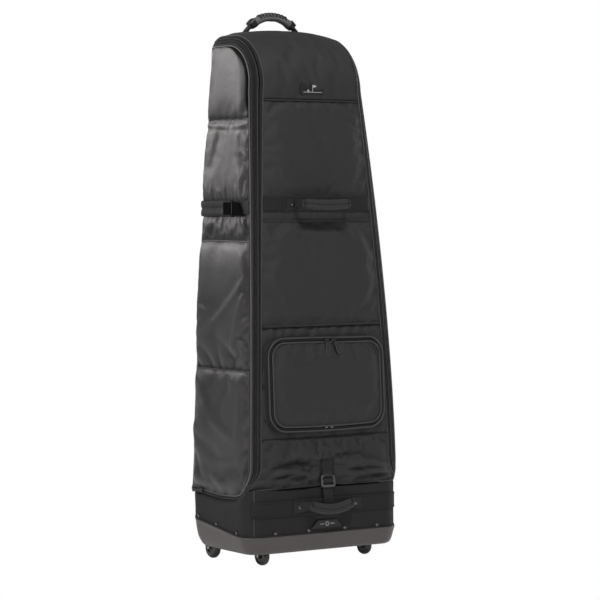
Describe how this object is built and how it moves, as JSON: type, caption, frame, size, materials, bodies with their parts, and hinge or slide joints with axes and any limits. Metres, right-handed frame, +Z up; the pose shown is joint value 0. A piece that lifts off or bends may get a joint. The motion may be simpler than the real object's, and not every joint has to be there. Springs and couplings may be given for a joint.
{
  "type": "golf travel case",
  "caption": "Tall soft-sided rolling travel case for a golf bag: moulded base tub on swivel and fixed wheels, zipped side doors, zipped front pocket, carry handles and cinch straps.",
  "frame": {"origin": "on the floor, at the centre of the case's overall width and depth", "axes": "+Z up the case from the wheels to the top handle, front pocket faces -Y, +X to the right of someone looking at the front"},
  "size_m": [0.4502, 0.3059, 1.3438],
  "materials": {
    "tub_plastic": "satin",
    "black_plastic": "matte",
    "grip_rubber": "matte",
    "tread_rubber": "satin",
    "axle_steel": "brushed",
    "rivet_metal": "gloss",
    "front_fabric": "woven",
    "side_fabric": "ripstop sheen",
    "band_fabric": "woven",
    "webbing": "ribbed",
    "zip_tape": "twill",
    "zip_metal": "satin",
    "pull_rubber": "matte",
    "buckle_plastic": "satin",
    "badge": "matte",
    "crest": "embroidered",
    "board": "matte",
    "foam": "brushed knit"
  },
  "bodies": {
    "shell": {"base_tub": "tub_plastic", "rim_rivets": "rivet_metal", "wheel_housing_left": "black_plastic", "wheel_housing_right": "black_plastic", "rear_axles": "axle_steel", "caster_cups": "black_plastic", "base_board": "board", "base_skirt": "front_fabric", "skirt_band": "band_fabric", "label_patch": "badge", "handle_rivets": "rivet_metal", "lower_front_panel": "front_fabric", "front_panel": "front_fabric", "hood_panel": "front_fabric", "mid_band": "band_fabric", "crest_patch": "crest", "back_panel": "front_fabric", "back_stiffener": "board", "top_foam_pad": "foam", "frame_zip_left": "zip_tape", "frame_zip_right": "zip_tape", "pocket_body": "front_fabric", "pocket_zip_frame": "zip_tape", "buckle_anchor": "webbing", "strap_buckle": "buckle_plastic", "buckle_webbing": "webbing", "top_handle_anchors": "webbing"},
    "rear_wheel_left": {"rear_wheel_left": "tread_rubber", "rear_hub_left": "black_plastic"},
    "caster_fork_left": {"caster_fork_left": "black_plastic", "caster_axle_left": "axle_steel"},
    "caster_wheel_left": {"caster_wheel_left": "tread_rubber"},
    "door_left": {"side_door_left": "side_fabric", "door_zip_left": "zip_tape", "side_strap_left": "webbing"},
    "door_slider_left": {"door_slider_left": "zip_metal"},
    "door_pull_left": {"door_pull_left": "pull_rubber"},
    "strap_tail_left": {"strap_tail_left": "webbing"},
    "pocket_slider_left": {"pocket_slider_left": "zip_metal"},
    "pocket_pull_left": {"pocket_pull_left": "pull_rubber"},
    "rear_wheel_right": {"rear_wheel_right": "tread_rubber", "rear_hub_right": "black_plastic"},
    "caster_fork_right": {"caster_fork_right": "black_plastic", "caster_axle_right": "axle_steel"},
    "caster_wheel_right": {"caster_wheel_right": "tread_rubber"},
    "door_right": {"side_door_right": "side_fabric", "door_zip_right": "zip_tape", "side_strap_right": "webbing"},
    "door_slider_right": {"door_slider_right": "zip_metal"},
    "door_pull_right": {"door_pull_right": "pull_rubber"},
    "strap_tail_right": {"strap_tail_right": "webbing"},
    "pocket_slider_right": {"pocket_slider_right": "zip_metal"},
    "pocket_pull_right": {"pocket_pull_right": "pull_rubber"},
    "pocket_flap": {"pocket_flap": "front_fabric", "pocket_zip": "zip_tape"},
    "lower_handle": {"lower_handle": "front_fabric"},
    "mid_handle": {"mid_handle": "front_fabric"},
    "top_handle": {"top_handle_grip": "grip_rubber", "top_handle_strap": "webbing"}
  },
  "joints": [
    {"name": "rear_wheel_left_spin", "type": "hinge", "parent": "shell", "child": "rear_wheel_left", "pos_m": [-0.188, 0.09845, 0.026], "axis": [1, 0, 0], "continuous": true},
    {"name": "caster_left_swivel", "type": "hinge", "parent": "shell", "child": "caster_fork_left", "pos_m": [-0.158, -0.06605, 0.058], "axis": [0, 0, 1], "continuous": true},
    {"name": "caster_wheel_left_spin", "type": "hinge", "parent": "caster_fork_left", "child": "caster_wheel_left", "pos_m": [-0.158, -0.07605, 0.023], "axis": [1, 0, 0], "continuous": true},
    {"name": "door_left_open", "type": "hinge", "parent": "shell", "child": "door_left", "pos_m": [-0.214, 0.15495, 0.165], "axis": [-0.054, 0, -0.9985], "range_deg": [0, 110]},
    {"name": "door_slider_left_travel", "type": "slide", "parent": "door_left", "child": "door_slider_left", "axis": [0, -1, 0], "range_m": [0, 0.12]},
    {"name": "door_pull_left_lift", "type": "hinge", "parent": "door_slider_left", "child": "door_pull_left", "pos_m": [-0.2213, 0.13415, 0.167], "axis": [0, 0, -1], "range_deg": [0, 150]},
    {"name": "strap_tail_left_peel", "type": "hinge", "parent": "door_left", "child": "strap_tail_left", "pos_m": [-0.19242, 0.04695, 0.87], "axis": [0, 0, -1], "range_deg": [0, 110]},
    {"name": "rear_wheel_right_spin", "type": "hinge", "parent": "shell", "child": "rear_wheel_right", "pos_m": [0.188, 0.09845, 0.026], "axis": [1, 0, 0], "continuous": true},
    {"name": "caster_right_swivel", "type": "hinge", "parent": "shell", "child": "caster_fork_right", "pos_m": [0.158, -0.06605, 0.058], "axis": [0, 0, 1], "continuous": true},
    {"name": "caster_wheel_right_spin", "type": "hinge", "parent": "caster_fork_right", "child": "caster_wheel_right", "pos_m": [0.158, -0.05605, 0.023], "axis": [1, 0, 0], "continuous": true},
    {"name": "door_right_open", "type": "hinge", "parent": "shell", "child": "door_right", "pos_m": [0.214, 0.15495, 0.165], "axis": [-0.054, 0, 0.9985], "range_deg": [0, 110]},
    {"name": "door_slider_right_travel", "type": "slide", "parent": "door_right", "child": "door_slider_right", "axis": [0, -1, 0], "range_m": [0, 0.12]},
    {"name": "door_pull_right_lift", "type": "hinge", "parent": "door_slider_right", "child": "door_pull_right", "pos_m": [0.2213, 0.13415, 0.167], "axis": [0, 0, 1], "range_deg": [0, 150]},
    {"name": "strap_tail_right_peel", "type": "hinge", "parent": "door_right", "child": "strap_tail_right", "pos_m": [0.19242, 0.04695, 0.87], "axis": [0, 0, 1], "range_deg": [0, 110]},
    {"name": "pocket_flap_open", "type": "hinge", "parent": "shell", "child": "pocket_flap", "pos_m": [0, -0.13297, 0.32478], "axis": [1, 0, 0], "range_deg": [0, 95]},
    {"name": "pocket_slider_left_travel", "type": "slide", "parent": "pocket_flap", "child": "pocket_slider_left", "axis": [-1, 0, 0], "range_m": [0, 0.11]},
    {"name": "pocket_slider_right_travel", "type": "slide", "parent": "pocket_flap", "child": "pocket_slider_right", "axis": [1, 0, 0], "range_m": [0, 0.09]},
    {"name": "pocket_pull_left_lift", "type": "hinge", "parent": "pocket_slider_left", "child": "pocket_pull_left", "pos_m": [-0.001, -0.12634, 0.54396], "axis": [-1, 0, 0], "range_deg": [0, 150]},
    {"name": "pocket_pull_right_lift", "type": "hinge", "parent": "pocket_slider_right", "child": "pocket_pull_right", "pos_m": [0.02, -0.12634, 0.54396], "axis": [-0.9397, -0.0197, -0.3415], "range_deg": [0, 150]},
    {"name": "lower_handle_lift", "type": "hinge", "parent": "shell", "child": "lower_handle", "pos_m": [0, -0.12655, 0.147], "axis": [-1, 0, 0], "range_deg": [-25, 70]},
    {"name": "mid_handle_swing", "type": "hinge", "parent": "shell", "child": "mid_handle", "pos_m": [0, -0.08467, 0.87], "axis": [-1, 0, 0], "range_deg": [-60, 60]},
    {"name": "top_handle_lean", "type": "hinge", "parent": "shell", "child": "top_handle", "pos_m": [0, 0.12295, 1.292], "axis": [1, 0, 0], "range_deg": [-50, 50]}
  ]
}
